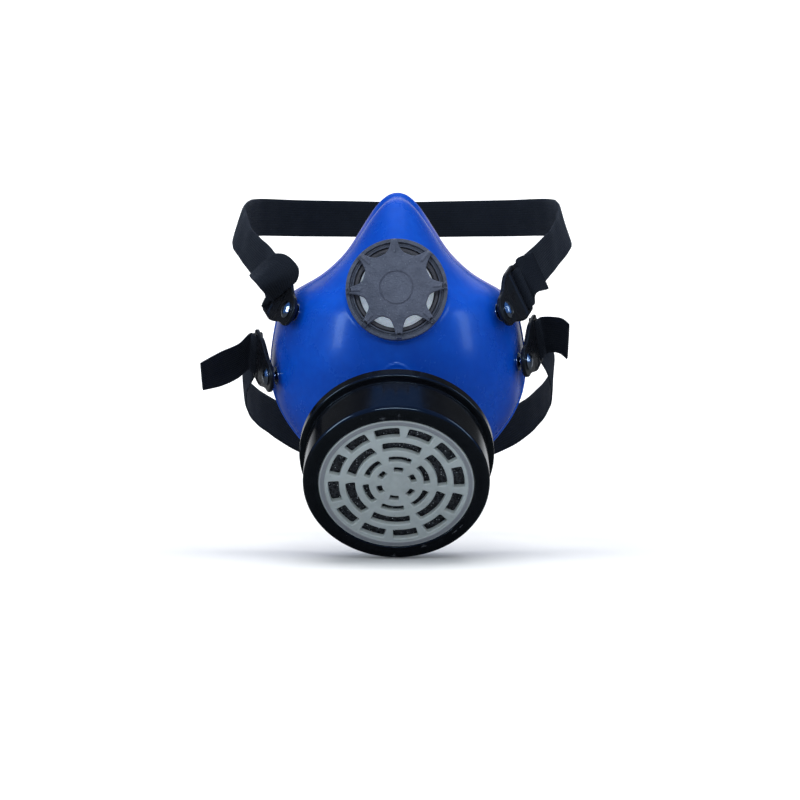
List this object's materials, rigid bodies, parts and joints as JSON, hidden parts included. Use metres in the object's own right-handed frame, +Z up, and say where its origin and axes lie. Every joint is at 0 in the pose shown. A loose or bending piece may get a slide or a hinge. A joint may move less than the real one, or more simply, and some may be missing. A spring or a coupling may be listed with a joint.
{
  "type": "half mask respirator",
  "caption": "Reusable half-mask respirator: moulded facepiece, star-covered exhalation valve, screw-on chin canister, elastic head straps on swivelling snap tabs.",
  "frame": {"origin": "centre of the face opening, on the wearer's mid plane, level with the mouth", "axes": "+Z up along the wearer's face, -Y out of the front of the mask, +X to the viewer's right"},
  "size_m": [0.1837, 0.2691, 0.1824],
  "materials": {
    "facepiece_vinyl": "glossy moulded vinyl, deep blue, slight orange peel",
    "cover_plastic": "fine-textured slate-grey moulded plastic",
    "seat_plastic": "moulded grey plastic",
    "silicone_grey": "translucent light-grey silicone",
    "port_plastic": "black moulded plastic",
    "canister_plastic": "high-gloss black moulded plastic",
    "grille_plastic": "satin grey moulded plastic with a moulded rim",
    "gasket_rubber": "black nitrile rubber",
    "screen_plastic": "perforated natural plastic",
    "carbon": "activated carbon pad with fine light specks",
    "filter_paper": "white electret filter fleece",
    "prefilter_foam": "dark open-cell pad with light specks",
    "stud_chrome": "bright plated steel",
    "washer_steel": "plated steel",
    "tab_plastic": "black moulded tab, satin to glossy",
    "strap_elastic": "black ribbed elastic webbing"
  },
  "bodies": {
    "facepiece_body": {"facepiece": "facepiece_vinyl", "exhalation_valve_seat": "seat_plastic", "inlet_port": "port_plastic", "port_lock_ring": "port_plastic", "snap_studs": "stud_chrome", "stud_washers": "washer_steel", "upper_strap": "strap_elastic", "lower_strap": "strap_elastic"},
    "exhalation_flap_body": {"exhalation_flap": "silicone_grey"},
    "valve_cover_body": {"exhalation_valve_cover": "cover_plastic"},
    "inhalation_flap_body": {"inhalation_flap": "silicone_grey"},
    "gasket_body": {"canister_gasket": "gasket_rubber"},
    "canister_body": {"canister_base": "canister_plastic", "rear_screen": "screen_plastic", "carbon_bed": "carbon", "particulate_filter": "filter_paper", "prefilter_pad": "prefilter_foam", "canister_shell": "canister_plastic", "front_grille": "grille_plastic"},
    "tab_body_upper_left": {"strap_tab_upper_left": "tab_plastic", "snap_cap_upper_left": "stud_chrome", "strap_end_upper_left": "strap_elastic"},
    "tab_body_upper_right": {"strap_tab_upper_right": "tab_plastic", "snap_cap_upper_right": "stud_chrome", "strap_end_upper_right": "strap_elastic"},
    "tab_body_lower_left": {"strap_tab_lower_left": "tab_plastic", "snap_cap_lower_left": "stud_chrome", "strap_end_lower_left": "strap_elastic"},
    "tab_body_lower_right": {"strap_tab_lower_right": "tab_plastic", "snap_cap_lower_right": "stud_chrome", "strap_end_lower_right": "strap_elastic"}
  },
  "joints": [
    {"name": "exhalation_flap_lift", "type": "slide", "parent": "facepiece_body", "child": "exhalation_flap_body", "axis": [0, -0.9962, 0.0872], "range_m": [0, 0.0015]},
    {"name": "valve_cover_snap", "type": "slide", "parent": "facepiece_body", "child": "valve_cover_body", "axis": [0, -0.9962, 0.0872], "range_m": [0, 0.018]},
    {"name": "inhalation_flap_lift", "type": "slide", "parent": "facepiece_body", "child": "inhalation_flap_body", "axis": [0, 0.829, 0.5592], "range_m": [0, 0.0015]},
    {"name": "canister_travel", "type": "slide", "parent": "facepiece_body", "child": "gasket_body", "axis": [0, -0.829, -0.5592], "range_m": [0, 0.00801]},
    {"name": "canister_unscrew", "type": "hinge", "parent": "gasket_body", "child": "canister_body", "pos_m": [0, -0.0566, -0.0597], "axis": [0, -0.829, -0.5592], "range_deg": [0, 720]},
    {"name": "tab_swivel_upper_left", "type": "hinge", "parent": "facepiece_body", "child": "tab_body_upper_left", "pos_m": [-0.0473, -0.02578, 0.0038], "axis": [-0.8489, -0.4621, 0.2567], "range_deg": [-10, 10]},
    {"name": "tab_swivel_upper_right", "type": "hinge", "parent": "facepiece_body", "child": "tab_body_upper_right", "pos_m": [0.0473, -0.02578, 0.0038], "axis": [0.8489, -0.4621, 0.2567], "range_deg": [-10, 10]},
    {"name": "tab_swivel_lower_left", "type": "hinge", "parent": "facepiece_body", "child": "tab_body_lower_left", "pos_m": [-0.0572, -0.00975, -0.0255], "axis": [-0.9495, -0.3076, -0.0616], "range_deg": [-10, 10]},
    {"name": "tab_swivel_lower_right", "type": "hinge", "parent": "facepiece_body", "child": "tab_body_lower_right", "pos_m": [0.0572, -0.0099, -0.0188], "axis": [0.9498, -0.31, 0.0416], "range_deg": [-10, 10]}
  ],
  "couplings": [
    {"joint": "canister_travel", "follows": "canister_unscrew", "m_per_rad": 0.00063662}
  ]
}
